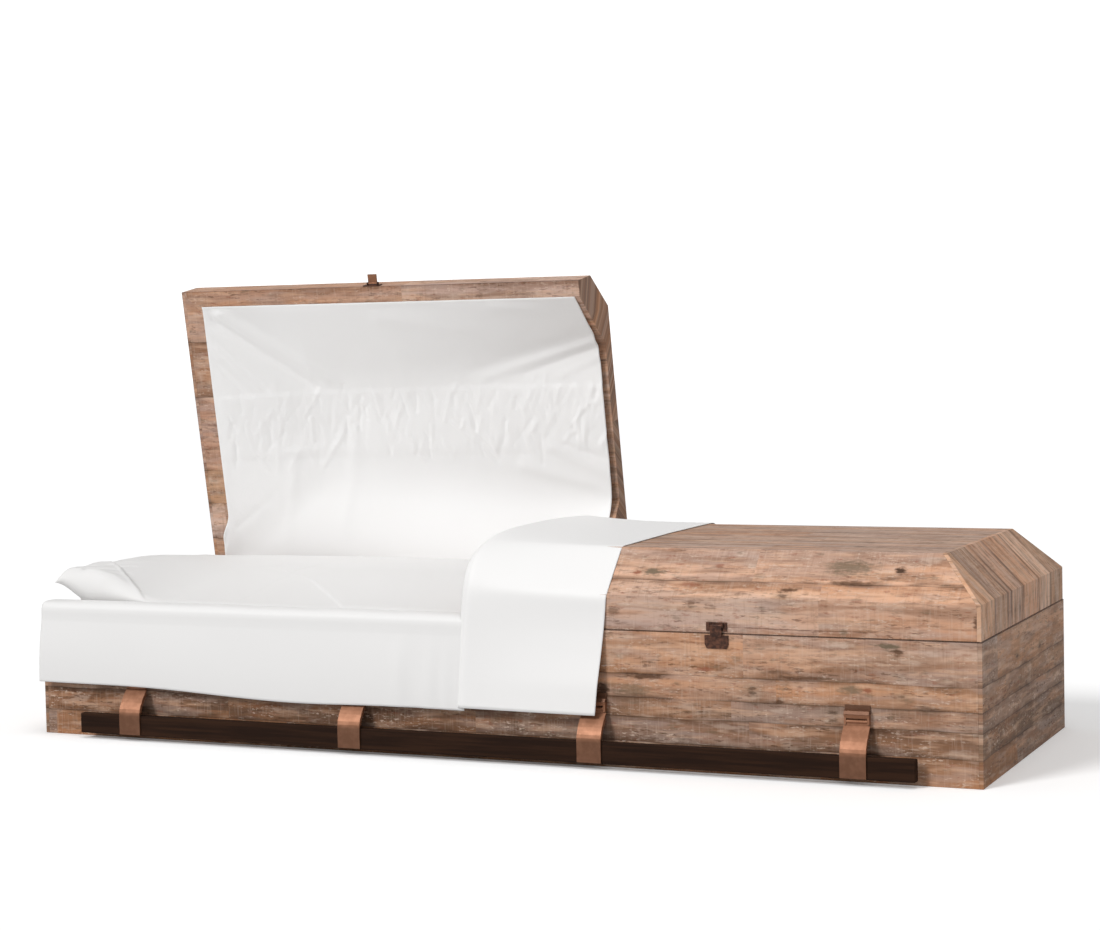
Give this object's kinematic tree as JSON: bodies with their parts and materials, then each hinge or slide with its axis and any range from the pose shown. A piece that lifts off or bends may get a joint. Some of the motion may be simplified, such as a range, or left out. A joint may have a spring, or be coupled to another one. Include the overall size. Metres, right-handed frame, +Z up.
{
  "type": "cremation container",
  "caption": "Long fibreboard cremation container with a split hinged lid, white cloth bedding and drapes, and a swinging carrying bar on each side.",
  "frame": {"origin": "middle of the underside of the body", "axes": "+X along the box from the head end to the foot end, -Y the front with the drape, +Z up"},
  "size_m": [2.08, 0.8816, 0.9929],
  "materials": {
    "printed_board": "satin print of weathered planks",
    "white_cloth": "soft sheen",
    "copper": "brushed copper plating",
    "old_bronze": "dark antique bronze",
    "dark_wood": "dark satin stain"
  },
  "bodies": {
    "container": {"body_front_wall": "printed_board", "body_back_wall": "printed_board", "body_head_wall": "printed_board", "body_foot_wall": "printed_board", "body_head_facing": "printed_board", "body_foot_facing": "printed_board", "body_floor": "printed_board", "wall_lining": "white_cloth", "mattress": "white_cloth", "bed_overlay": "white_cloth", "pillow": "white_cloth", "front_drape": "white_cloth", "head_catch_plate": "old_bronze", "foot_catch_plate": "old_bronze", "front_lug_1": "copper", "front_lug_2": "copper", "front_lug_3": "copper", "front_lug_4": "copper", "back_lug_1": "copper", "back_lug_2": "copper", "back_lug_3": "copper", "back_lug_4": "copper", "head_hinge_1_body_leaf": "old_bronze", "head_hinge_2_body_leaf": "old_bronze", "foot_hinge_1_body_leaf": "old_bronze", "foot_hinge_2_body_leaf": "old_bronze"},
    "head_lid": {"head_lid_shell": "printed_board", "head_lid_facing": "printed_board", "head_lid_lining": "white_cloth", "head_hinge_1_lid_leaf": "old_bronze", "head_hinge_2_lid_leaf": "old_bronze", "head_hasp_base": "old_bronze"},
    "foot_lid": {"foot_lid_shell": "printed_board", "foot_lid_facing": "printed_board", "foot_lid_lining": "white_cloth", "foot_hinge_1_lid_leaf": "old_bronze", "foot_hinge_2_lid_leaf": "old_bronze", "foot_hasp_base": "old_bronze", "throw": "white_cloth"},
    "head_hasp": {"head_hasp": "copper"},
    "foot_hasp": {"foot_hasp": "copper"},
    "front_handle": {"front_bar": "dark_wood", "front_arm_1": "copper", "front_arm_2": "copper", "front_arm_3": "copper", "front_arm_4": "copper"},
    "back_handle": {"back_bar": "dark_wood", "back_arm_1": "copper", "back_arm_2": "copper", "back_arm_3": "copper", "back_arm_4": "copper"}
  },
  "joints": [
    {"name": "head_lid_hinge", "type": "hinge", "parent": "container", "child": "head_lid", "pos_m": [-0.52, 0.356, 0.27], "axis": [1, 0, 0], "range_deg": [0, 80], "deforming": ["pillow"]},
    {"name": "foot_lid_hinge", "type": "hinge", "parent": "container", "child": "foot_lid", "pos_m": [0.52, 0.356, 0.27], "axis": [-1, 0, 0], "range_deg": [0, 80], "deforming": ["throw"]},
    {"name": "head_hasp_pin", "type": "hinge", "parent": "head_lid", "child": "head_hasp", "pos_m": [-0.526, 0.24806, 0.97141], "axis": [1, 0, 0], "range_deg": [-85, 90]},
    {"name": "foot_hasp_pin", "type": "hinge", "parent": "foot_lid", "child": "foot_hasp", "pos_m": [0.526, -0.3535, 0.2855], "axis": [-1, 0, 0], "range_deg": [0, 175]},
    {"name": "front_handle_pins", "type": "hinge", "parent": "container", "child": "front_handle", "pos_m": [0, -0.3575, 0.115], "axis": [-1, 0, 0], "range_deg": [0, 85], "deforming": ["front_drape"]},
    {"name": "back_handle_pins", "type": "hinge", "parent": "container", "child": "back_handle", "pos_m": [0, 0.3575, 0.115], "axis": [1, 0, 0], "range_deg": [0, 85]}
  ]
}
